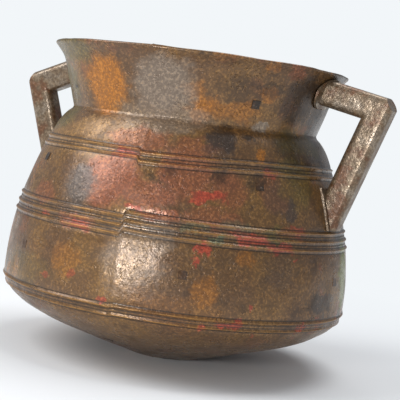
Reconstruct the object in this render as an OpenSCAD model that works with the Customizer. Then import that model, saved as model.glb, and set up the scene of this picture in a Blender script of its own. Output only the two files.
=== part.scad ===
// Round-bellied cast bronze cauldron with two angular handles.
// The vessel's axis is Z, its flat base lies on z = 0, and the right handle lies along +X.

/* [Belly] */
// Radius of the flat patch that the cauldron stands on
base_r = 35; // [28:1:48]
// Outer radius of the belly at its widest
belly_r = 155; // [140:1:175]
// Height of the widest level above the base
belly_z = 63; // [55:1:78]
// Rise of the bottom as it leaves the base, in degrees
bottom_angle = 18.6; // [14:0.1:24]
// Reach of the shallow bottom before it turns up
bottom_pull = 74; // [50:1:90]
// Reach of the upright turn below the widest level
turn_below = 28; // [20:1:36]
// Reach of the upright turn above the widest level
turn_above = 36; // [25:1:55]

/* [Shoulder and neck] */
// Height of the shoulder above the widest level
shoulder_rise = 128; // [112:1:145]
// Steepness of the side where it reaches the shoulder, in degrees
shoulder_angle = 67; // [60:1:75]
// Reach of the nearly straight side below the shoulder
shoulder_pull = 60; // [40:1:70]
// How far the shoulder stands out from the foot of the neck
shoulder_out = 15.8; // [10:0.1:22]
// Height of the rounded shoulder, up to the foot of the neck
shoulder_h = 20.9; // [15:0.1:28]
// Outer radius at the foot of the neck
neck_r = 110.2; // [100:0.1:120]
// Height of the straight part of the neck
neck_h = 39; // [30:1:50]
// How far the straight part of the neck leans out
neck_lean = 12.3; // [6:0.1:18]
// Height of the flared lip
lip_h = 15; // [11:1:20]
// How far the lip flares out from the neck
lip_out = 9.7; // [6:0.1:14]

/* [Wall] */
// Thickness of the cast wall
wall = 3.6; // [3:0.1:5]

/* [Cordons] */
// Width of a cordon where it leaves the wall
cordon_w = 3.4; // [2.4:0.1:4.4]
// Height of a cordon above the wall
cordon_h = 1.3; // [0.8:0.1:2]
// Spacing of the cordons in a band
cordon_pitch = 7; // [5.5:0.1:8.5]
// Distance from the shoulder down to the middle of the upper pair
upper_pair_down = 10.3; // [8:0.1:20]
// Height of the middle band's middle cordon above the widest level
middle_band_up = 62.6; // [52:0.1:70]
// Distance from the widest level down to the middle of the lower pair
lower_pair_down = 7.3; // [0:0.1:14]

/* [Handles] */
// Thickness of a handle's bar, seen from the side
bar_depth = 23; // [18:0.5:26]
// Width of a handle's bar, seen from its end
bar_width = 20; // [16:0.5:24]
// Rounding of the bar's long edges
bar_corner = 6; // [3:0.5:7]
// How far the elbow's middle stands out from the belly
elbow_out = 18.3; // [12:0.1:26]
// Depth of the right elbow's middle below the rim
right_elbow_drop = 24.3; // [20:0.1:38]
// Depth of the left elbow's middle below the rim
left_elbow_drop = 34.7; // [20:0.1:38]
// Depth of the handle's upper joint below the rim
joint_drop = 14.5; // [13:0.1:18]
// Height of the handle's lower joint above the widest level
foot_rise = 84.5; // [78:0.5:92]
// Cut taken off the elbow's outer corner
elbow_blunt = 7; // [2:0.5:9]
// Gap between a handle's foot and the cordon below it
foot_gap = 1; // [0.5:0.1:2]

/* [Handle keys] */
// Thickness of the run-over metal round a handle's joints
seam_t = 1.8; // [1:0.1:2.5]
// Spread of the run-over metal beside the upper joint
joint_spread = 8; // [4:0.5:10]
// Spread of the run-over metal beside the lower joint
foot_spread = 3.5; // [2:0.5:6]
// Radius of the key that joins a handle through the wall
key_r = 5; // [3.5:0.5:6]
// Radius of the key's head inside the vessel
key_head_r = 9; // [7:0.5:11]
// Thickness of the key's head
key_head_t = 2.2; // [1.5:0.1:3]

/* [Chaplets] */
// Side of a square chaplet
chaplet_side = 7; // [4:0.5:9]
// Number of chaplets round the neck
neck_chaplets = 4; // [3:1:4]
// Height of the neck's chaplets above the foot of the neck
neck_chaplet_up = 20; // [12:1:28]
// Number of chaplets round the shoulder
shoulder_chaplets = 4; // [3:1:4]
// Distance from the shoulder down to its chaplets
shoulder_chaplet_down = 24; // [22:0.5:32]
// Number of chaplets round the belly
belly_chaplets = 6; // [3:1:8]
// Height of the belly's chaplets above the widest level
belly_chaplet_up = 29; // [14:1:40]
// Number of chaplets round the bottom
bottom_chaplets = 3; // [3:1:5]
// Radius of the ring of chaplets in the bottom
bottom_chaplet_ring = 92; // [60:1:110]

/* [Hidden] */
bronze = "#6e4f2f";
handle_bronze = "#7c6a55";
chaplet_bronze = "#5a3c26";

function ring_names(row, count) = [for (k = [1:count]) str(row, "_chaplet_", k)];

// Landmarks of the outer outline, each as [radius, height]
foot = [base_r, 0];
widest = [belly_r, belly_z];
neck_foot_z = belly_z + shoulder_rise + shoulder_h;
neck_foot = [neck_r, neck_foot_z];
shoulder = [neck_r + shoulder_out, belly_z + shoulder_rise];
neck_top = neck_foot + [neck_lean, neck_h];
rim = neck_top + [lip_out, lip_h];
rim_z = rim.y;

// Directions in which the outline passes its landmarks
bottom_way = [cos(bottom_angle), sin(bottom_angle)];
side_way = [-cos(shoulder_angle), sin(shoulder_angle)];
neck_way = [neck_lean, neck_h] / norm([neck_lean, neck_h]);
tuck_angle = 28;
tuck_way = [-cos(tuck_angle), sin(tuck_angle)];
flare_angle = 50;
flare_way = [cos(flare_angle), sin(flare_angle)];
tuck_pull = shoulder_h / 2;
knee_pull = shoulder_h / 7;
flare_pull = lip_h / 2;

// One stretch of the outline as a cubic curve, without its last point
function bend(a, b, c, d, t) =
    pow(1 - t, 3) * a + 3 * t * pow(1 - t, 2) * b + 3 * t * t * (1 - t) * c + pow(t, 3) * d;
function stretch(a, b, c, d, count) = [for (k = [0:count - 1]) bend(a, b, c, d, k / count)];

bottom_steps = 14;
side_steps = 11;
tuck_steps = 4;
flare_steps = 5;

outline = concat(
    stretch(foot, foot + bottom_pull * bottom_way, widest - [0, turn_below], widest, bottom_steps),
    stretch(widest, widest + [0, turn_above], shoulder - shoulder_pull * side_way, shoulder, side_steps),
    stretch(shoulder, shoulder + knee_pull * side_way, neck_foot - tuck_pull * tuck_way, neck_foot, tuck_steps),
    [neck_foot],
    stretch(neck_top, neck_top + flare_pull * neck_way, rim - flare_pull * flare_way, rim, flare_steps),
    [rim]
);
last = len(outline) - 1;

// Outward normal of the outline's stretch from point k, and of the flat base below point 0
function stretch_normal(k) =
    k < 0 ? [0, -1] :
    let (way = outline[k + 1] - outline[k]) [way.y, -way.x] / norm(way);

// Mitred normal at point k, so that a shifted outline keeps its distance
function point_normal(k) =
    let (before = stretch_normal(k - 1), after = stretch_normal(min(k, last - 1)))
    (before + after) / (1 + before * after);
function shifted(distance) = [for (k = [0:last]) outline[k] + distance * point_normal(k)];

// Outer radius at a height, height of the bottom at a radius, and the wall's slope at a height
function radius_at(z) = lookup(z, [for (p = outline) [p.y, p.x]]);
function bottom_z_at(r) = lookup(r, [for (k = [0:bottom_steps]) outline[k]]);
slope_step = 1;
function slope_at(z) = atan((radius_at(z + slope_step) - radius_at(z - slope_step)) / (2 * slope_step));

upper_pair_z = shoulder.y - upper_pair_down;
middle_band_z = belly_z + middle_band_up;
lower_pair_z = belly_z - lower_pair_down;
cordon_heights = [
    upper_pair_z + cordon_pitch / 2,
    upper_pair_z - cordon_pitch / 2,
    middle_band_z + cordon_pitch,
    middle_band_z,
    middle_band_z - cordon_pitch,
    lower_pair_z + cordon_pitch / 2,
    lower_pair_z - cordon_pitch / 2
];

// Joints and elbows of the handles, in the plane of the handle
joint = [radius_at(rim_z - joint_drop), rim_z - joint_drop];
handle_foot = [radius_at(belly_z + foot_rise), belly_z + foot_rise];
elbow_x = belly_r + elbow_out;
foot_cut_z = middle_band_z + cordon_pitch + cordon_w / 2 + foot_gap;
bar_reach = 40;
far = 2 * belly_r;

neck_chaplet_z = neck_foot_z + neck_chaplet_up;
shoulder_chaplet_z = shoulder.y - shoulder_chaplet_down;
belly_chaplet_z = belly_z + belly_chaplet_up;
neck_chaplet_turn = -38;
shoulder_chaplet_turn = -36.5;
belly_chaplet_turn = -60;
bottom_chaplet_turn = -95;

$fn = 96;

// Cross-section of the cordons, sunk into the wall a little so that they join it
module cordon_sections() {
    for (z = cordon_heights) {
        translate([radius_at(z), z])
            rotate(-slope_at(z))
            polygon([
                [-wall / 3, -cordon_w / 2],
                [0, -cordon_w / 2],
                [cordon_h, -cordon_w / 5],
                [cordon_h, cordon_w / 5],
                [0, cordon_w / 2],
                [-wall / 3, cordon_w / 2]
            ]);
    }
}

module wall_section() {
    inner = shifted(-wall);
    polygon(concat(
        [[0, 0]],
        outline,
        [for (k = [0:last]) inner[last - k]],
        [[0, wall]]
    ));
    translate((outline[last] + inner[last]) / 2) circle(d = wall);
}

// Everything within the vessel's outside, with its mouth plugged to well above the rim
module vessel_filled() {
    plug_z = rim_z + 2 * bar_depth;
    rotate_extrude() {
        polygon(concat([[0, 0]], outline, [[neck_r, plug_z], [0, plug_z]]));
        cordon_sections();
    }
}

// A skin of metal between two shifted copies of the outline
module skin(low, high) {
    inside = shifted(low);
    outside = shifted(high);
    rotate_extrude()
        polygon(concat(outside, [for (k = [0:last]) inside[last - k]]));
}

// A square prism through the wall at a height, or through the bottom
module chaplet_prism(turn, z) {
    rotate(turn)
        translate([radius_at(z), 0, z])
        rotate([0, slope_at(z), 0])
        cube([4 * wall, chaplet_side, chaplet_side], center = true);
}

module chaplet(turn, z) {
    color(chaplet_bronze)
    intersection() {
        skin(-wall, 0);
        chaplet_prism(turn, z);
    }
}

module neck_chaplet(k) {
    chaplet(neck_chaplet_turn + 360 * k / neck_chaplets, neck_chaplet_z);
}

module shoulder_chaplet(k) {
    chaplet(shoulder_chaplet_turn + 360 * k / shoulder_chaplets, shoulder_chaplet_z);
}

module belly_chaplet(k) {
    chaplet(belly_chaplet_turn + 360 * k / belly_chaplets, belly_chaplet_z);
}

module bottom_chaplet(k) {
    chaplet(bottom_chaplet_turn + 360 * k / bottom_chaplets, bottom_z_at(bottom_chaplet_ring));
}

module chaplet_seats() {
    for (k = [1:neck_chaplets])
        chaplet_prism(neck_chaplet_turn + 360 * k / neck_chaplets, neck_chaplet_z);
    for (k = [1:shoulder_chaplets])
        chaplet_prism(shoulder_chaplet_turn + 360 * k / shoulder_chaplets, shoulder_chaplet_z);
    for (k = [1:belly_chaplets])
        chaplet_prism(belly_chaplet_turn + 360 * k / belly_chaplets, belly_chaplet_z);
    for (k = [1:bottom_chaplets])
        chaplet_prism(bottom_chaplet_turn + 360 * k / bottom_chaplets, bottom_z_at(bottom_chaplet_ring));
}

// A round bar across the wall at a handle's joint, square to the vessel's axis
module key_bar(z, r) {
    translate([radius_at(z) - bar_reach / 2, 0, z])
        rotate([0, 90, 0])
        cylinder(h = bar_reach, r = r);
}

module key_bores() {
    for (turn = [0, 180], z = [joint.y, handle_foot.y])
        rotate(turn) key_bar(z, key_r);
}

module vessel() {
    color(bronze)
    difference() {
        rotate_extrude() {
            wall_section();
            cordon_sections();
        }
        chaplet_seats();
        key_bores();
    }
}

// Points round the bar's cross-section, each as [depth, width], with rounded long edges
corner_steps = 6;
bar_section = [
    for (quarter = [0:3], step = [0:corner_steps])
    let (
        angle = 90 * (quarter + step / corner_steps),
        depth_side = quarter == 0 || quarter == 3 ? 1 : -1,
        width_side = quarter < 2 ? 1 : -1
    )
    [
        depth_side * (bar_depth / 2 - bar_corner) + bar_corner * cos(angle),
        width_side * (bar_width / 2 - bar_corner) + bar_corner * sin(angle)
    ]
];

// The cross-section set across the bar at a point of its middle line
function bar_ring(at, across) = [
    for (p = bar_section) [at.x + p.x * across.x, p.y, at.y + p.x * across.y]
];

// The half of space beyond a plane in which way is the slope of its normal
module half_space(at, way) {
    translate([at.x, 0, at.y])
        rotate([0, -atan2(way.y, way.x), 0])
        translate([0, -far, -far])
        cube([2 * far, 2 * far, 2 * far]);
}

// Two straight bars mitred at the elbow, which run on into the vessel at both ends
module elbowed_bar(elbow) {
    upper = (elbow - joint) / norm(elbow - joint);
    lower = (handle_foot - elbow) / norm(handle_foot - elbow);
    upper_across = [-upper.y, upper.x];
    lower_across = [-lower.y, lower.x];
    mitre = (upper_across + lower_across) / (1 + upper_across * lower_across);
    rings = [
        bar_ring(joint - bar_reach * upper, upper_across),
        bar_ring(elbow, mitre),
        bar_ring(handle_foot + bar_reach * lower, lower_across)
    ];
    n = len(bar_section);
    sides = [
        for (ring = [0:1], k = [0:n - 1])
        let (a = ring * n + k, b = ring * n + (k + 1) % n)
        each [[a, b, a + n], [b, b + n, a + n]]
    ];
    ends = [
        for (k = [1:n - 2])
        each [[0, k + 1, k], [2 * n, 2 * n + k, 2 * n + k + 1]]
    ];
    corner_out = norm(mitre) * bar_depth / 2 - elbow_blunt;
    difference() {
        polyhedron(concat(rings[0], rings[1], rings[2]), concat(sides, ends));
        half_space(elbow + corner_out * mitre / norm(mitre), mitre);
        translate([-far, -far, foot_cut_z - 2 * far]) cube(2 * far);
    }
}

// Metal that ran over the wall round the upper joint
module joint_runover() {
    spread = bar_depth / 2 + seam_t;
    intersection() {
        skin(0, seam_t);
        for (side = [-1, 1])
            translate([0, side * (bar_width / 2 + joint_spread - spread), joint.y - seam_t])
                rotate([0, 90, 0])
                cylinder(h = far, r = spread);
    }
}

// Metal that ran over the wall round the lower joint
module foot_runover() {
    half_width = bar_width / 2 + foot_spread;
    top_z = handle_foot.y + bar_depth;
    intersection() {
        skin(0, seam_t);
        translate([0, -half_width, foot_cut_z])
            cube([far, 2 * half_width, top_z - foot_cut_z]);
    }
}

// A key through the wall and its head inside the vessel
module key(z) {
    intersection() {
        skin(-wall, seam_t);
        key_bar(z, key_r);
    }
    intersection() {
        skin(-wall - key_head_t, -wall);
        key_bar(z, key_head_r);
    }
}

module handle(elbow) {
    color(handle_bronze)
    union() {
        difference() {
            union() {
                elbowed_bar(elbow);
                joint_runover();
                foot_runover();
            }
            vessel_filled();
        }
        key(joint.y);
        key(handle_foot.y);
    }
}

module right_handle() {
    handle([elbow_x, rim_z - right_elbow_drop]);
}

module left_handle() {
    rotate(180) handle([elbow_x, rim_z - left_elbow_drop]);
}

vessel();
right_handle();
left_handle();
for (k = [1:neck_chaplets])
    neck_chaplet(k);
for (k = [1:shoulder_chaplets])
    shoulder_chaplet(k);
for (k = [1:belly_chaplets])
    belly_chaplet(k);
for (k = [1:bottom_chaplets])
    bottom_chaplet(k);
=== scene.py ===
"""A cast bronze cauldron: the surface and finish of every piece, the floor, the light and the camera.

The vessel's axis is Z, its base lies on z = 0, and the right handle lies along +X.
Names that end in _mm hold millimetres, and the meshes are in metres. Angles are in degrees.
"""

import math

import bpy
import numpy as np
from mathutils import Matrix, Vector


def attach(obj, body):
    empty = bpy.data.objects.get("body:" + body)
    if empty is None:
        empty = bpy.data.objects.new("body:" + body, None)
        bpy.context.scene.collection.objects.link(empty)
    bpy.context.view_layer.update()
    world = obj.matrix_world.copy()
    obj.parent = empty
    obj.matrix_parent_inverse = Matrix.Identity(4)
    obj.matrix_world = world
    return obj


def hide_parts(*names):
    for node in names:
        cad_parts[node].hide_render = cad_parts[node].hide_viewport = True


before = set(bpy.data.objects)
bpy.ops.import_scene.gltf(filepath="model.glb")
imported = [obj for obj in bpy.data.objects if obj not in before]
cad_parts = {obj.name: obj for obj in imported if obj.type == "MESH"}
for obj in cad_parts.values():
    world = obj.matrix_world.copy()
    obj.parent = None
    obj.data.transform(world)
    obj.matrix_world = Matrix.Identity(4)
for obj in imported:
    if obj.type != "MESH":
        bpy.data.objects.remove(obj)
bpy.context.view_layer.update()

MM = 0.001


# Outline of the cast wall

WALL_MM = 3.6
FOOT = np.array([35.0, 0.0])
WIDEST = np.array([155.0, 63.0])
SHOULDER = np.array([126.0, 191.0])
NECK_FOOT = np.array([110.2, 211.9])
NECK_TOP = np.array([122.5, 250.9])
RIM = np.array([132.2, 265.9])
# Direction of the line where it leaves or reaches a landmark, and how far that direction reaches
BOTTOM_ANGLE = 18.6
SIDE_ANGLE = 67
TUCK_ANGLE = 28
FLARE_ANGLE = 50
BOTTOM_PULL_MM = 74
TURN_BELOW_MM = 28
TURN_ABOVE_MM = 36
SHOULDER_PULL_MM = 60
KNEE_PULL_MM = 3
TUCK_PULL_MM = 10.4
FLARE_PULL_MM = 7.5
CORDONS_MM = {
    "upper_high": [184.2],
    "upper_low": [177.2],
    "middle": [132.6, 125.6, 118.6],
    "lower": [59.2, 52.2],
}
CORDON_H_MM = 1.3
CORDON_HALF_MM = 1.9
GROOVE_MM = 0.28
LINE_STEP_MM = 0.25
CORNER_SOFTNESS_MM = 1.3


def way(angle):
    """The direction at an angle above the horizontal."""
    return np.array([math.cos(math.radians(angle)), math.sin(math.radians(angle))])


def bend(a, b, c, d):
    """Points along one cubic curve."""
    t = np.linspace(0, 1, 400)[:, None]
    return (1 - t) ** 3 * a + 3 * t * (1 - t) ** 2 * b + 3 * t**2 * (1 - t) * c + t**3 * d


def evenly(points, step):
    """The same line with its points a step apart, and their distances along it."""
    reach = np.concatenate([[0], np.cumsum(np.linalg.norm(np.diff(points, axis=0), axis=1))])
    along = np.linspace(0, reach[-1], int(reach[-1] / step) + 1)
    line = np.stack([np.interp(along, reach, points[:, k]) for k in (0, 1)], axis=1)
    return along, line


def outer_line():
    """The wall's outer line from the base's centre to the rim, each point with its direction."""
    neck_way = (NECK_TOP - NECK_FOOT) / np.linalg.norm(NECK_TOP - NECK_FOOT)
    side_way = way(180 - SIDE_ANGLE)
    tuck_way = way(180 - TUCK_ANGLE)
    flare_way = way(FLARE_ANGLE)
    points = np.concatenate([
        [[0.0, 0.0]],
        bend(FOOT, FOOT + BOTTOM_PULL_MM * way(BOTTOM_ANGLE), WIDEST - [0, TURN_BELOW_MM], WIDEST),
        bend(WIDEST, WIDEST + [0, TURN_ABOVE_MM], SHOULDER - SHOULDER_PULL_MM * side_way, SHOULDER),
        bend(SHOULDER, SHOULDER + KNEE_PULL_MM * side_way, NECK_FOOT - TUCK_PULL_MM * tuck_way, NECK_FOOT),
        bend(NECK_TOP, NECK_TOP + FLARE_PULL_MM * neck_way, RIM - FLARE_PULL_MM * flare_way, RIM),
    ])
    along, line = evenly(points, LINE_STEP_MM)
    reach = np.arange(-12, 13)
    weights = np.exp(-0.5 * (reach * LINE_STEP_MM / CORNER_SOFTNESS_MM) ** 2)
    padded = np.concatenate([2 * line[0] - line[12:0:-1], line, 2 * line[-1] - line[-2:-14:-1]])
    soft = np.stack([np.convolve(padded[:, k], weights / weights.sum(), "valid") for k in (0, 1)], axis=1)
    soft[:, 1] = np.maximum(soft[:, 1], 0)
    direction = np.gradient(soft, along, axis=0)
    direction /= np.linalg.norm(direction, axis=1)[:, None]
    return along, soft, direction


ALONG, LINE, DIRECTION = outer_line()
OUTWARD = np.stack([DIRECTION[:, 1], -DIRECTION[:, 0]], axis=1)
ABOVE_BASE = LINE[:, 1] > 0.01


def along_at(height):
    """Distance along the outer line at a height."""
    return float(np.interp(height, LINE[ABOVE_BASE, 1], ALONG[ABOVE_BASE]))


def on_line(values, along):
    """A value or a point of the outer line at distances along it."""
    if values.ndim == 1:
        return np.interp(along, ALONG, values)
    return np.stack([np.interp(along, ALONG, values[:, k]) for k in (0, 1)], axis=1)


# Where the casting strays from the true form

SEAM_TURN = -80.0
COLUMNS = 440
BAND_RANGE_MM = 5.0
# Height of each band above its true place, from one mould seam round to the next and back:
# the place is 0 at the front seam, 0.5 at the back one and 1 at the front one again.
STRAY_MM = {
    "upper_high": [(0, -2.6), (0.06, -1.4), (0.17, 1.3), (0.28, 0.8), (0.495, -0.9),
                   (0.505, 0.8), (0.7, -0.7), (0.85, 0.5), (0.94, 0.1), (1, -0.2)],
    "upper_low": [(0, -2.8), (0.06, -1.5), (0.17, 1.4), (0.28, 0.9), (0.495, -0.9),
                  (0.505, 0.9), (0.7, -0.2), (0.85, 1.4), (0.94, 1.7), (1, 1.2)],
    "middle": [(0, 2.2), (0.035, 1.0), (0.1, 0.2), (0.3, -0.3), (0.495, 0.7),
               (0.505, -0.9), (0.7, 0.3), (0.88, -0.9), (0.96, -1.4), (1, -2.4)],
    "lower": [(0, 0.6), (0.05, 0.2), (0.2, -0.4), (0.35, 0.3), (0.495, 0.5),
              (0.505, -0.6), (0.7, 0.4), (0.9, -0.3), (0.97, 0.1), (1, -0.4)],
    "rim": [(0, -1.0), (0.03, -0.5), (0.12, 0.1), (0.3, -0.6), (0.495, 0.2),
            (0.505, -0.4), (0.65, 0.1), (0.8, -0.5), (0.95, 0.1), (1, 0.2)],
}
LEAN_MM = Vector((-0.3, -0.2, 0))
LEAN_FROM_MM = 175.0
LEAN_TO_MM = 262.0


# Nodes

class Wire:
    """What runs out of a node. Arithmetic on it adds Math nodes."""

    def __init__(self, net, socket):
        self.net = net
        self.socket = socket

    def other(self, name):
        return Wire(self.net, self.socket.node.outputs[name])

    def math(self, operation, *values):
        return self.net.node("ShaderNodeMath", {"operation": operation}, dict(enumerate(values)))

    def __add__(self, other):
        return self.math("ADD", self, other)

    __radd__ = __add__

    def __sub__(self, other):
        return self.math("SUBTRACT", self, other)

    def __rsub__(self, other):
        return self.math("SUBTRACT", other, self)

    def __mul__(self, other):
        return self.math("MULTIPLY", self, other)

    __rmul__ = __mul__

    def __truediv__(self, other):
        return self.math("DIVIDE", self, other)

    def __mod__(self, other):
        return self.math("FLOORED_MODULO", self, other)


class Net:
    """A node tree that is written as expressions."""

    def __init__(self, tree):
        self.tree = tree

    def node(self, kind, settings=None, values=None, out=0):
        made = self.tree.nodes.new(kind)
        for name, value in (settings or {}).items():
            if name == "points":
                self.draw_curve(made, value)
            else:
                setattr(made, name, value)
        for key, value in (values or {}).items():
            if isinstance(value, Wire):
                self.tree.links.new(value.socket, made.inputs[key])
            else:
                made.inputs[key].default_value = value
        return Wire(self, made.outputs[out]) if made.outputs else made

    @staticmethod
    def draw_curve(made, points):
        curve = made.mapping.curves[0]
        for place, value in points[2:]:
            curve.points.new(place, value)
        for point, (place, value) in zip(curve.points, points):
            point.location = (place, value)
        made.mapping.update()

    def step(self, value, low, high):
        """0 below low and 1 above high, with a smooth rise between. High may be the smaller."""
        return self.node("ShaderNodeMapRange", {"interpolation_type": "SMOOTHSTEP"},
                         {0: value, 1: low, 2: high})

    def vector(self, operation, *values, scale=None, out=0):
        filled = dict(enumerate(values))
        if scale is not None:
            filled[3] = scale
        return self.node("ShaderNodeVectorMath", {"operation": operation}, filled, out)

    def moved(self, at, offset):
        return self.vector("ADD", at, offset)

    def noise(self, at, size, detail=2.0, roughness=0.5):
        """A value from 0 to 1 with lumps of a size, in the units of the place."""
        return self.node("ShaderNodeTexNoise", {"noise_dimensions": "3D"},
                         {"Vector": at, "Scale": 1 / size, "Detail": detail, "Roughness": roughness})

    def cells(self, at, size):
        """The distance to the middle of the nearest cell of a size."""
        return self.node("ShaderNodeTexVoronoi", values={"Vector": at, "Scale": 1 / size})


# Meshes and pieces

def new_piece(name, mesh):
    piece = bpy.data.objects.new(name, mesh)
    bpy.context.scene.collection.objects.link(piece)
    return piece


def mesh_from(name, points, faces):
    mesh = bpy.data.meshes.new(name)
    mesh.from_pydata([tuple(p) for p in points], [], [tuple(int(k) for k in f) for f in faces])
    mesh.update()
    return mesh


def settled(piece):
    """Turns a piece and its modifiers into one plain mesh."""
    graph = bpy.context.evaluated_depsgraph_get()
    mesh = bpy.data.meshes.new_from_object(
        piece.evaluated_get(graph), preserve_all_data_layers=True, depsgraph=graph)
    piece.modifiers.clear()
    piece.data = mesh
    return piece


def shaped_by(piece, tree, values):
    """Runs a geometry tree on a piece with the values of its named inputs, and settles it."""
    modifier = piece.modifiers.new(tree.name, "NODES")
    modifier.node_group = tree
    for item in tree.interface.items_tree:
        if item.in_out == "INPUT" and item.name in values:
            modifier[item.identifier] = values[item.name]
    return settled(piece)


def geometry_tree(name, inputs):
    """A geometry tree with a geometry going in and out, its named inputs and its group input's wires."""
    tree = bpy.data.node_groups.new(name, "GeometryNodeTree")
    tree.interface.new_socket("Geometry", in_out="INPUT", socket_type="NodeSocketGeometry")
    tree.interface.new_socket("Geometry", in_out="OUTPUT", socket_type="NodeSocketGeometry")
    for label, kind in inputs.items():
        tree.interface.new_socket(label, in_out="INPUT", socket_type=kind)
    net = Net(tree)
    entry = net.node("NodeGroupInput")
    given = {socket.name: Wire(net, socket) for socket in entry.socket.node.outputs if socket.name}
    return tree, net, given


def close_tree(net, geometry, material):
    """Ends a tree: instances made real, smooth faces and the material set."""
    real = net.node("GeometryNodeRealizeInstances", values={0: geometry})
    smooth = net.node("GeometryNodeSetShadeSmooth", values={0: real})
    painted = net.node("GeometryNodeSetMaterial", values={"Geometry": smooth, "Material": material})
    net.node("NodeGroupOutput", values={0: painted})


CAST_INPUTS = {
    "Hollow Depth": "NodeSocketFloat",
    "Hollow Size": "NodeSocketFloat",
    "Grain Height": "NodeSocketFloat",
    "Grain Size": "NodeSocketFloat",
    "Seed": "NodeSocketFloat",
    "Bronze": "NodeSocketMaterial",
}


def cast_skin(net, geometry, given, amount=1.0):
    """Sinks broad shallow hollows and raises a grain along the normals, as a clay mould leaves them."""
    at = net.node("GeometryNodeInputPosition")
    place = net.moved(at, net.node("ShaderNodeCombineXYZ", values={0: given["Seed"]}))
    hollow_at = net.vector("DIVIDE", place, given["Hollow Size"])
    grain_at = net.vector("DIVIDE", place, given["Grain Size"])
    hollows = net.step(net.noise(hollow_at, 1.0, 2.0), 0.3, 0.75)
    grain = net.noise(grain_at, 1.0, 3.0, 0.6) - 0.5
    lift = grain * given["Grain Height"] - hollows * given["Hollow Depth"]
    normal = net.node("GeometryNodeInputNormal")
    offset = net.vector("SCALE", normal, scale=lift * amount)
    return net.node("GeometryNodeSetPosition", values={"Geometry": geometry, "Offset": offset})


# Vessel

def bump(distance, half):
    """A rounded ridge's height, 1 on its crest and 0 at half its width."""
    return np.where(np.abs(distance) < half, (1 - (distance / half) ** 2) ** 2, 0)


def section_mesh():
    """The closed section of the wall as loose points, from the base's centre out, up, over the lip and back.

    Each point holds its direction along the wall and outwards, its cordon's height,
    and how far it moves with each band."""
    ridge_steps = np.array([-3.1, -2.4, -1.8, -1.3, -0.7, 0, 0.7, 1.3, 1.8, 2.4, 3.1])
    centres = {band: [along_at(z) for z in heights] for band, heights in CORDONS_MM.items()}
    ridges = np.concatenate([c + ridge_steps for band in centres.values() for c in band])
    ridge_centres = np.array([c for band in centres.values() for c in band])
    plain = np.arange(0, ALONG[-1], 4.1)
    clear = np.min(np.abs(plain[:, None] - ridge_centres[None]), axis=1) > 4.9
    extra = np.array([along_at(z) for z in (0.5, 209, 211, 213, 215, 258, 262)])
    outer = np.unique(np.concatenate([plain[clear], ridges, extra, [ALONG[-1]]]))
    places = on_line(LINE, outer)
    ways = on_line(DIRECTION, outer)
    outs = on_line(OUTWARD, outer)
    distance = outer[:, None] - ridge_centres[None]
    rise = CORDON_H_MM * bump(distance, CORDON_HALF_MM).sum(1)
    rise -= GROOVE_MM * bump(np.abs(distance) - 2.45, 0.75).sum(1)

    lip_turns = np.radians(np.linspace(0, 180, 7)[1:-1])
    lip_out, lip_way = OUTWARD[-1], DIRECTION[-1]
    lip_middle = LINE[-1] - WALL_MM / 2 * lip_out
    lip_outs = np.cos(lip_turns)[:, None] * lip_out + np.sin(lip_turns)[:, None] * lip_way
    lip = lip_middle + WALL_MM / 2 * lip_outs
    lip_ways = -np.sin(lip_turns)[:, None] * lip_out + np.cos(lip_turns)[:, None] * lip_way

    inner = np.arange(ALONG[-1], 0, -8.0)
    inner_places = on_line(LINE, inner) - WALL_MM * on_line(OUTWARD, inner)
    inner_places = np.concatenate([inner_places, [[0, WALL_MM]]])
    inner_ways = np.concatenate([on_line(DIRECTION, inner), [[1, 0]]])

    places = np.concatenate([places, lip, inner_places])
    ways = np.concatenate([ways, lip_ways, inner_ways])
    outs = np.concatenate([outs, lip_outs, -np.concatenate([on_line(OUTWARD, inner), [[0, -1]]])])
    rise = np.concatenate([rise, np.zeros(len(lip) + len(inner_places))])
    outside = np.concatenate([np.ones(len(outer)), np.ones(len(lip)), np.zeros(len(inner_places))])

    mesh = mesh_from("section", [(x * MM, 0, z * MM) for x, z in places], [])
    for name, values in (("way", ways), ("out", outs)):
        attribute = mesh.attributes.new(name, "FLOAT_VECTOR", "POINT")
        attribute.data.foreach_set("vector", np.insert(values, 1, 0, axis=1).ravel())
    amounts = {"rise": rise * MM, "outside": outside}
    fade_mm = 14.0
    along = np.concatenate([outer, np.full(len(lip) + len(inner_places), 1e4)])
    for band, middles in centres.items():
        off = np.maximum(min(middles) - along, along - max(middles))
        off = np.clip((off - 3.1) / fade_mm, 0, 1)
        amounts[band] = 1 - off * off * (3 - 2 * off)
    gap = centres["upper_high"][0] - centres["upper_low"][0]
    lift = np.clip((along - centres["upper_low"][0]) / gap, 0, 1)
    amounts["upper_high"] *= lift
    amounts["upper_low"] *= 1 - lift
    height = places[:, 1]
    amounts["rim"] = np.clip((height - 250) / 15, 0, 1)
    for name, values in amounts.items():
        attribute = mesh.attributes.new(name, "FLOAT", "POINT")
        attribute.data.foreach_set("value", values.astype(np.float32))
    return mesh


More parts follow.
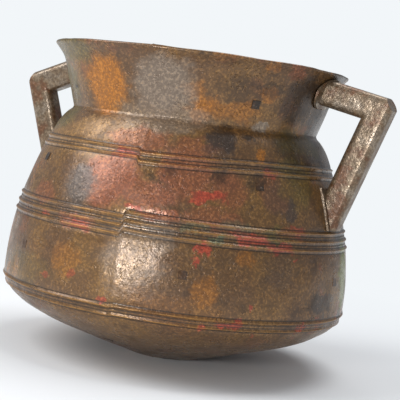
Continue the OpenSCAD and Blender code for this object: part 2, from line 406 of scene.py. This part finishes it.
def turned_casting():
    """A tree that turns a section round the axis, strays its bands, and gives it the skin of a casting."""
    inputs = {"Columns": "NodeSocketInt", "Seam Turn": "NodeSocketFloat", "Seam Fin": "NodeSocketFloat"}
    inputs.update(CAST_INPUTS)
    tree, net, given = geometry_tree("turned_casting", inputs)
    section = given["Geometry"]
    count = net.node("GeometryNodeAttributeDomainSize", {"component": "MESH"}, {0: section})
    grid = net.node("GeometryNodeMeshGrid", values={
        "Vertices X": given["Columns"] + 1, "Vertices Y": count})
    index = net.node("GeometryNodeInputIndex")
    row = index % count
    column = (index - row) / count
    place = (column / given["Columns"]) % 1.0
    turn = place * (2 * math.pi) + given["Seam Turn"]

    def section_value(name, kind):
        """An attribute of the section at this row, or its position."""
        if name == "position":
            value = net.node("GeometryNodeInputPosition")
        else:
            value = net.node("GeometryNodeInputNamedAttribute", {"data_type": kind}, {"Name": name})
        return net.node("GeometryNodeSampleIndex", {"data_type": kind, "domain": "POINT"},
                        {"Geometry": section, "Value": value, "Index": row})

    shift = 0.0
    for band, points in STRAY_MM.items():
        scaled = [(x, 0.5 + y / (2 * BAND_RANGE_MM)) for x, y in points]
        curve = net.node("ShaderNodeFloatCurve", {"points": scaled}, {"Value": place})
        shift = (curve - 0.5) * section_value(band, "FLOAT") * (2 * BAND_RANGE_MM * MM) + shift
    both_seams = place * 2
    at_seam = both_seams.math("PINGPONG", both_seams, 0.5)
    fin = net.step(at_seam * given["Columns"], 1.6, 0.4) * section_value("outside", "FLOAT")
    wear = net.noise(net.node("ShaderNodeCombineXYZ", values={2: row}), 14.0, 2.0)
    ridge = section_value("rise", "FLOAT") + fin * wear * given["Seam Fin"]
    moved = net.moved(section_value("position", "FLOAT_VECTOR"),
                      net.vector("SCALE", section_value("way", "FLOAT_VECTOR"), scale=shift))
    moved = net.moved(moved, net.vector("SCALE", section_value("out", "FLOAT_VECTOR"), scale=ridge))
    turned = net.node("ShaderNodeVectorRotate", {"rotation_type": "Z_AXIS"}, {"Vector": moved, "Angle": turn})
    height = net.node("ShaderNodeSeparateXYZ", values={0: moved}, out=2)
    lean = net.vector("SCALE", tuple(LEAN_MM * MM),
                      scale=net.step(height, LEAN_FROM_MM * MM, LEAN_TO_MM * MM))
    shell = net.node("GeometryNodeSetPosition", values={
        "Geometry": grid, "Position": net.moved(turned, lean)})
    for name, value in (("crest", section_value("rise", "FLOAT") / (CORDON_H_MM * MM)),
                        ("outside", section_value("outside", "FLOAT"))):
        shell = net.node("GeometryNodeStoreNamedAttribute", {"data_type": "FLOAT", "domain": "POINT"},
                         {"Geometry": shell, "Name": name, "Value": value})
    shell = net.node("GeometryNodeMergeByDistance", values={"Geometry": shell, "Distance": 0.01 * MM})
    here = net.node("ShaderNodeSeparateXYZ", values={0: net.node("GeometryNodeInputPosition")}, out=2)
    shell = cast_skin(net, shell, given, net.step(here, 0.5 * MM, 6 * MM))
    close_tree(net, shell, given["Bronze"])
    return tree


# Finishes

def srgb(red, green, blue):
    """A colour as a screen shows it, from 0 to 255, as the renderer's own."""
    parts = [v / 255 for v in (red, green, blue)]
    return tuple(((v + 0.055) / 1.055) ** 2.4 if v > 0.04045 else v / 12.92 for v in parts) + (1.0,)


BROWN = srgb(116, 84, 54)
GOLDEN_BROWN = srgb(142, 104, 56)
DARK_BROWN = srgb(62, 46, 33)
# Near-black brown: dark patina, and also painted shade in the broad dark patches and in the cordon grooves.
SOOT_AND_SHADE = srgb(34, 28, 24)
BLUE_GREY = srgb(72, 66, 66)
TERRACOTTA = srgb(158, 92, 62)
CORAL = srgb(190, 78, 56)
OCHRE = srgb(190, 118, 34)
SAND = srgb(176, 134, 82)
OLIVE = srgb(104, 98, 40)
LEAF_GREEN = srgb(122, 130, 38)
VERDIGRIS = srgb(100, 116, 88)
SILVER_GREY = srgb(164, 150, 134)
WORN_GOLD = srgb(176, 128, 66)

# Patches that show on the front, by colour: turn, height, half width, half height (both in mm), strength
PATCHES = {
    "sand": (SAND, [
        (-109, 197, 24, 12, 0.75), (-128, 190, 34, 12, 0.5), (-88, 186, 16, 12, 0.4), (-100, 178, 22, 9, 0.35),
    ]),
    "terracotta": (TERRACOTTA, [
        (-82, 192, 30, 13, 0.7), (-89, 159, 26, 16, 0.95), (-74, 150, 26, 12, 0.8), (-63, 172, 24, 18, 0.75),
        (-69, 136, 16, 6, 0.9), (-97, 121, 17, 5, 0.8), (-118, 138, 20, 8, 0.55), (-52, 136, 26, 6, 0.6),
        (-60, 190, 22, 8, 0.6), (-30, 165, 18, 12, 0.4), (-48, 160, 16, 14, 0.6),
    ]),
    "ochre": (OCHRE, [
        (-104, 234, 24, 17, 1.0), (-60, 224, 12, 8, 0.9), (-47, 225, 24, 7, 0.55), (-35, 241, 8, 8, 0.5),
        (-35.4, 192, 5, 8, 0.8), (-52.5, 80, 12, 10, 0.5), (-41, 110, 8, 7, 0.45), (-64, 238, 10, 7, 0.5),
        (-98, 88, 14, 10, 0.35), (-60, 62, 40, 12, 0.18),
    ]),
    "coral": (CORAL, [
        (-85, 181, 12, 5, 0.75), (-54.5, 153.5, 13, 4.5, 1.0), (-58, 149, 7, 3, 0.9), (-55.5, 113, 5.5, 5.5, 0.95),
        (-56.4, 102, 2.4, 8, 0.9), (-40, 127, 16, 3.4, 0.9), (-36, 123.5, 7, 3.4, 0.95), (-29, 120, 12, 2.6, 0.8),
        (-46, 57, 9, 3.2, 0.9), (-42, 55.5, 5.5, 3.4, 0.95), (-52, 52, 4.2, 2.6, 0.8), (-17, 56, 8, 2.8, 0.75),
        (-10, 62, 4.4, 2, 0.7), (-37, 73, 2.6, 2.2, 0.8), (-23.5, 114.6, 3.4, 2, 0.8), (-34.5, 46.6, 3, 2.2, 0.6),
        (-113, 120.7, 7, 2.8, 0.75), (-96, 119, 10, 2.6, 0.7), (-105, 70.8, 3.6, 2.6, 0.6), (-94, 78.6, 4.2, 4, 0.5),
        (-82.3, 65, 4, 3.4, 0.8), (-77, 139, 8, 2.4, 0.7), (-24, 131, 16, 2.2, 0.7), (-31, 177, 10, 1.8, 0.6),
    ]),
    # The broad dark patches near the right handle paint the shade down the right side and the neck's right side; the
    # small ones on the front are dark patina.
    "dark": (SOOT_AND_SHADE, [
        (-51, 201, 12, 9, 0.75), (-50.5, 210, 8, 3, 0.6), (-16, 240, 22, 22, 0.75), (-11, 200, 38, 14, 0.75),
        (-35, 246, 16, 9, 0.5), (-47, 243, 12, 8, 0.4), (-51, 171, 6, 5, 0.6), (-38, 170, 8, 6, 0.55),
        (-7, 76, 20, 10, 0.75), (9, 131, 20, 12, 0.85), (-25, 182, 20, 8, 0.4), (-39, 205, 5, 4, 0.7),
        (-69, 170, 5, 3, 0.5), (-75, 163, 5, 4, 0.5), (5, 240, 26, 40, 0.75), (8, 190, 20, 30, 0.6),
    ]),
    "blue_grey": (BLUE_GREY, [
        (-24, 149, 9, 12, 0.7), (-30, 158, 14, 14, 0.4), (-100, 151, 15, 9, 0.8), (-52, 196, 14, 10, 0.5),
        (-29, 103, 16, 10, 0.3),
    ]),
    "olive": (OLIVE, [
        (-136, 232, 22, 22, 0.7), (-140, 203, 34, 9, 0.7), (-20, 175, 22, 24, 0.45), (-28, 130, 18, 5, 0.55),
        (-12, 205, 30, 16, 0.35), (-118, 74, 40, 20, 0.25), (-128, 262, 40, 5, 0.6),
    ]),
    "leaf_green": (LEAF_GREEN, [
        (10, 97, 14, 24, 0.95), (-150, 232, 16, 16, 0.6),
    ]),
    "verdigris": (VERDIGRIS, [
        (-51, 122, 9, 2.6, 0.8), (-58, 128, 10, 2.4, 0.5), (-44, 134, 16, 3, 0.4),
    ]),
    # Painted reflections: the silvery patches on the front of the neck and body paint a sheen, and the thin line at
    # the neck's foot is part painted reflection, part wear.
    "silver_sheen_and_wear": (SILVER_GREY, [
        (-76, 238, 26, 20, 0.6), (-80, 222, 20, 10, 0.5), (-68, 120, 14, 12, 0.35), (-76, 100, 24, 22, 0.3),
        (-100, 148, 18, 12, 0.2), (-33.6, 213.5, 9, 1.8, 0.7), (-75, 213, 40, 2.2, 0.5),
    ]),
}


def wall_place(turn, height_mm):
    """The point in mm on the wall's outer side at a turn and a height."""
    radius = float(np.interp(height_mm, LINE[ABOVE_BASE, 1], LINE[ABOVE_BASE, 0]))
    return (radius * math.cos(math.radians(turn)), radius * math.sin(math.radians(turn)), height_mm)


def new_material(name):
    material = bpy.data.materials.new(name)
    material.use_nodes = True
    material.node_tree.nodes.clear()
    return material, Net(material.node_tree)


def tinted(net, factor, base, tint):
    """A colour mixed into another by a factor."""
    return net.node("ShaderNodeMix", {"data_type": "RGBA"}, {0: factor, 6: base, 7: tint}, out=2)


# Height is stretched by this much where the distance to a flat patch is taken, and less to a tall one
STRETCHES = (2.8, 1.0, 0.45)


def patch_mask(net, stretched, spots):
    """Where any of these patches lies, with its strength. Stretched holds the place at each stretch."""
    mask = None
    for turn, height, wide, tall, strength in spots:
        stretch = min(STRETCHES, key=lambda s: abs(math.log(s * tall / wide)))
        x, y, z = wall_place(turn, height)
        away = net.vector("DISTANCE", stretched[stretch], (x, y, z * stretch), out=1)
        spot = net.step(away, 1.25 * wide, 0.7 * wide) * strength
        mask = spot if mask is None else mask.math("MAXIMUM", mask, spot)
    return mask


def at_stretches(net, place):
    """The place with its height stretched each way."""
    return {s: net.vector("MULTIPLY", place, (1.0, 1.0, s)) for s in STRETCHES}


def vessel_finish():
    """Old waxed bronze: brown with ochre, brick-red and dark patches, worn cordons and a pitted skin, with painted
    shade down the right side and in the cordon grooves, and painted silvery reflections on the front.
    """
    material, net = new_material("cast_bronze")
    at = net.vector("SCALE", net.node("ShaderNodeTexCoord").other("Object"), scale=1000.0)
    coarse_warp = net.node("ShaderNodeTexNoise", values={"Vector": at, "Scale": 1 / 16, "Detail": 3.0}, out=1)
    fine_warp = net.node("ShaderNodeTexNoise", values={"Vector": at, "Scale": 1 / 4, "Detail": 2.0}, out=1)
    bend_mm = net.vector("SCALE", net.moved(coarse_warp, (-0.5, -0.5, -0.5)), scale=22.0)
    fray_mm = net.vector("SCALE", net.moved(fine_warp, (-0.5, -0.5, -0.5)), scale=7.0)
    ragged = net.moved(net.moved(at, bend_mm), fray_mm)
    stretched = at_stretches(net, ragged)

    broad = net.noise(at, 48, 3.0)
    mottle = net.noise(net.moved(at, (31, 7, 55)), 15, 4.0, 0.6)
    speck = net.noise(at, 2.2, 3.0, 0.65)
    colour = tinted(net, net.step(broad, 0.35, 0.65), BROWN, GOLDEN_BROWN)
    colour = tinted(net, net.step(mottle, 0.52, 0.7) * 0.55, colour, DARK_BROWN)
    front = patch_mask(net, at_stretches(net, at), [(-70, 140, 150, 150, 1.0)])
    wild = net.noise(net.moved(ragged, (9, 90, 4)), 26, 3.0)
    colour = tinted(net, net.step(wild, 0.56, 0.66) * (1 - front) * 0.8, colour, TERRACOTTA)
    wild = net.noise(net.moved(ragged, (70, 3, 40)), 30, 3.0)
    colour = tinted(net, net.step(wild, 0.6, 0.7) * (1 - front) * 0.8, colour, OCHRE)
    wild = net.noise(net.moved(ragged, (20, 33, 8)), 22, 3.0)
    colour = tinted(net, net.step(wild, 0.57, 0.68) * (1 - front) * 0.75, colour, SOOT_AND_SHADE)
    for paint, spots in PATCHES.values():
        colour = tinted(net, patch_mask(net, stretched, spots), colour, paint)
    colour = tinted(net, net.step(speck, 0.62, 0.45) * 0.5, colour, DARK_BROWN)
    colour = tinted(net, net.step(speck, 0.56, 0.74) * 0.4, colour, SAND)

    crest = net.node("ShaderNodeAttribute", {"attribute_name": "crest"}, out=2)
    worn = net.step(crest, 0.55, 0.95) * net.step(mottle, 0.3, 0.6)
    # Painted shade: the grooves beside each cordon are darkened.
    groove_shade = net.step(crest, 0.0, -0.12)
    colour = tinted(net, groove_shade * 0.7, colour, SOOT_AND_SHADE)
    colour = tinted(net, worn * 0.6, colour, WORN_GOLD)

    outside = net.node("ShaderNodeAttribute", {"attribute_name": "outside"}, out=2)
    inner = tinted(net, net.step(mottle, 0.4, 0.65), srgb(74, 58, 44), srgb(98, 82, 60))
    inner = tinted(net, net.step(speck, 0.55, 0.7) * 0.5, inner, SOOT_AND_SHADE)
    colour = tinted(net, outside, inner, colour)

    pits = net.step(net.cells(ragged, 3.4), 0.36, 0.12) * net.step(net.noise(at, 12, 2.0), 0.4, 0.6)
    skin = net.noise(net.moved(at, (3, 3, 3)), 1.5, 2.0, 0.6) * 0.16 + net.noise(at, 4.5, 2.0) * 0.3 - pits * 0.35
    surface = net.node("ShaderNodeBump", values={"Strength": 1.0, "Distance": MM, "Height": skin})
    shader = net.node("ShaderNodeBsdfPrincipled", values={
        "Base Color": colour,
        "Metallic": worn * 0.3 + 0.3,
        "Roughness": net.step(mottle, 0.3, 0.8) * 0.18 + 0.24,
        "IOR": 1.6,
        "Normal": surface})
    net.node("ShaderNodeOutputMaterial", values={0: shader})
    return material


def small_piece_finish(name, base, light, dark, worn_share):
    """Cast bronze of a small piece: mottled, and paler where hands wore it."""
    material, net = new_material(name)
    at = net.vector("SCALE", net.node("ShaderNodeTexCoord").other("Object"), scale=1000.0)
    mottle = net.noise(at, 13, 4.0, 0.6)
    speck = net.noise(net.moved(at, (8, 2, 5)), 2.2, 3.0, 0.65)
    colour = tinted(net, net.step(mottle, 0.48, 0.64), base, dark)
    colour = tinted(net, net.step(mottle, 0.5, 0.36) * worn_share, colour, light)
    colour = tinted(net, net.step(speck, 0.6, 0.42) * 0.5, colour, DARK_BROWN)
    colour = tinted(net, net.step(speck, 0.56, 0.74) * 0.45, colour, SILVER_GREY)
    skin = net.noise(net.moved(at, (3, 3, 3)), 1.6, 2.0, 0.6) * 0.16 + net.noise(at, 5, 2.0) * 0.4
    surface = net.node("ShaderNodeBump", values={"Strength": 1.0, "Distance": MM, "Height": skin})
    shader = net.node("ShaderNodeBsdfPrincipled", values={
        "Base Color": colour,
        "Metallic": net.step(mottle, 0.6, 0.4) * 0.25 + 0.3,
        "Roughness": net.step(mottle, 0.3, 0.8) * 0.18 + 0.26,
        "IOR": 1.6,
        "Normal": surface})
    net.node("ShaderNodeOutputMaterial", values={0: shader})
    return material


vessel_bronze = vessel_finish()
vessel = new_piece("vessel_casting", section_mesh())
shaped_by(vessel, turned_casting(), {
    "Columns": COLUMNS,
    "Seam Turn": math.radians(SEAM_TURN),
    "Seam Fin": 0.5 * MM,
    "Hollow Depth": 0.8 * MM,
    "Hollow Size": 46 * MM,
    "Grain Height": 0.25 * MM,
    "Grain Size": 7 * MM,
    "Seed": 0.31,
    "Bronze": vessel_bronze,
})
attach(vessel, "root")
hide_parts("vessel")

handle_bronze = small_piece_finish("handle_bronze", srgb(132, 112, 88), SILVER_GREY, srgb(112, 72, 40), 0.6)
chaplet_bronze = small_piece_finish("chaplet_bronze", srgb(92, 64, 42), BROWN, SOOT_AND_SHADE, 0.5)
for name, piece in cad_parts.items():
    if name != "vessel":
        piece.data.materials.clear()
        piece.data.materials.append(handle_bronze if "handle" in name else chaplet_bronze)


# Floor, light and camera

BACKGROUND = srgb(242, 246, 249)


def floor_finish():
    """A pale floor that keeps the shadow near the cauldron and fades into the background."""
    material = bpy.data.materials.new("pale_floor")
    material.use_nodes = True
    material.node_tree.nodes.clear()
    net = Net(material.node_tree)
    at = net.node("ShaderNodeTexCoord").other("Object")
    away = net.vector("LENGTH", at, out=1)
    rays = net.node("ShaderNodeLightPath")
    by_camera = rays.other("Is Camera Ray")
    seen = by_camera.math("MAXIMUM", by_camera, rays.other("Is Glossy Ray"))
    matt = net.node("ShaderNodeBsdfDiffuse", values={"Color": srgb(238, 240, 242)})
    pale = net.node("ShaderNodeEmission", values={"Color": BACKGROUND})
    mixed = net.node("ShaderNodeMixShader", values={0: seen * net.step(away, 0.18, 0.7), 1: matt, 2: pale})
    net.node("ShaderNodeOutputMaterial", values={0: mixed})
    return material


FLOOR_HALF = 8.0
floor_corners = [(x * FLOOR_HALF, y * FLOOR_HALF, 0) for x, y in ((-1, -1), (1, -1), (1, 1), (-1, 1))]
floor = new_piece("floor", mesh_from("floor", floor_corners, [(0, 1, 2, 3)]))
floor.data.materials.append(floor_finish())

world = bpy.data.worlds.new("studio")
bpy.context.scene.world = world
world.use_nodes = True
world.node_tree.nodes.clear()
sky = Net(world.node_tree)
seen_by_camera = sky.node("ShaderNodeLightPath").other("Is Camera Ray")
soft = sky.node("ShaderNodeBackground", values={"Color": srgb(236, 240, 246), "Strength": 0.42})
pale = sky.node("ShaderNodeBackground", values={"Color": BACKGROUND, "Strength": 1.0})
studio = sky.node("ShaderNodeMixShader", values={0: seen_by_camera, 1: soft, 2: pale})
sky.node("ShaderNodeOutputWorld", values={0: studio})


def aimed(name, data, turn, rise, distance, target_mm):
    """An object that looks at a target from a turn, a rise and a distance."""
    target = Vector(target_mm) * MM
    level = math.radians(rise)
    heading = math.radians(turn)
    place = target + distance * Vector((
        math.cos(level) * math.cos(heading), math.cos(level) * math.sin(heading), math.sin(level)))
    lamp = bpy.data.objects.new(name, data)
    bpy.context.scene.collection.objects.link(lamp)
    lamp.location = place
    lamp.rotation_euler = (target - place).to_track_quat("-Z", "Y").to_euler()
    return lamp


def soft_lamp(name, turn, rise, distance, size, power, target_mm=(0, 0, 130)):
    data = bpy.data.lights.new(name, "AREA")
    data.shape = "DISK"
    data.size = size
    data.energy = power
    return aimed(name, data, turn, rise, distance, target_mm)


soft_lamp("key_lamp", -90, 8, 1.3, 0.22, 8.0, (38.7, -148.6, 98))
soft_lamp("left_softbox", -140, 40, 1.6, 1.2, 16.0)
soft_lamp("top_softbox", 60, 75, 1.6, 1.2, 14.0)

lens = bpy.data.cameras.new("photo_camera")
lens.sensor_width = 36.0
lens.lens = 101.8
camera = bpy.data.objects.new("photo_camera", lens)
bpy.context.scene.collection.objects.link(camera)
CAMERA_HEADING = 27.2592
CAMERA_TILT = -3.5552
CAMERA_ROLL = 7.4215
camera.matrix_world = (
    Matrix.Translation(Vector((484.26, -910.77, 206.55)) * MM)
    @ Matrix.Rotation(math.radians(CAMERA_HEADING), 4, "Z")
    @ Matrix.Rotation(math.radians(90 + CAMERA_TILT), 4, "X")
    @ Matrix.Rotation(math.radians(CAMERA_ROLL), 4, "Z")
)
bpy.context.scene.camera = camera
bpy.context.scene.view_settings.view_transform = "Standard"
